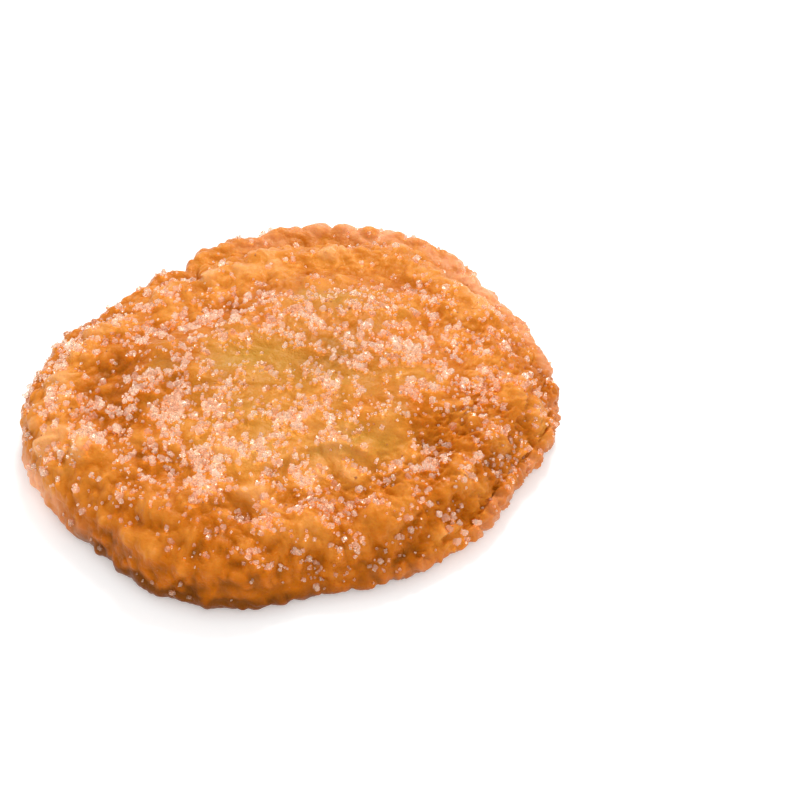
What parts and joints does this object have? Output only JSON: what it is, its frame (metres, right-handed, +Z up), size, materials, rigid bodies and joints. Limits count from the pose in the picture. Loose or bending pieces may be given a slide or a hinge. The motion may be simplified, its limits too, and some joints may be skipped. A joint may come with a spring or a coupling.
{
  "type": "apple fritter",
  "caption": "Whole fried apple fritter: a flat oval pastry with a puffed, knobbly rim, a creased paler middle and a coat of cinnamon sugar.",
  "frame": {"origin": "under the middle of the fritter's box, on the surface that it lies on", "axes": "+Z up through the thickness, +X along the long way of the oval, -Y towards the near side of the picture"},
  "size_m": [0.1108, 0.1074, 0.0208],
  "materials": {
    "fried_dough": null,
    "sugar": null
  },
  "bodies": {
    "root": {"fritter": "fried_dough"}
  },
  "joints": []
}
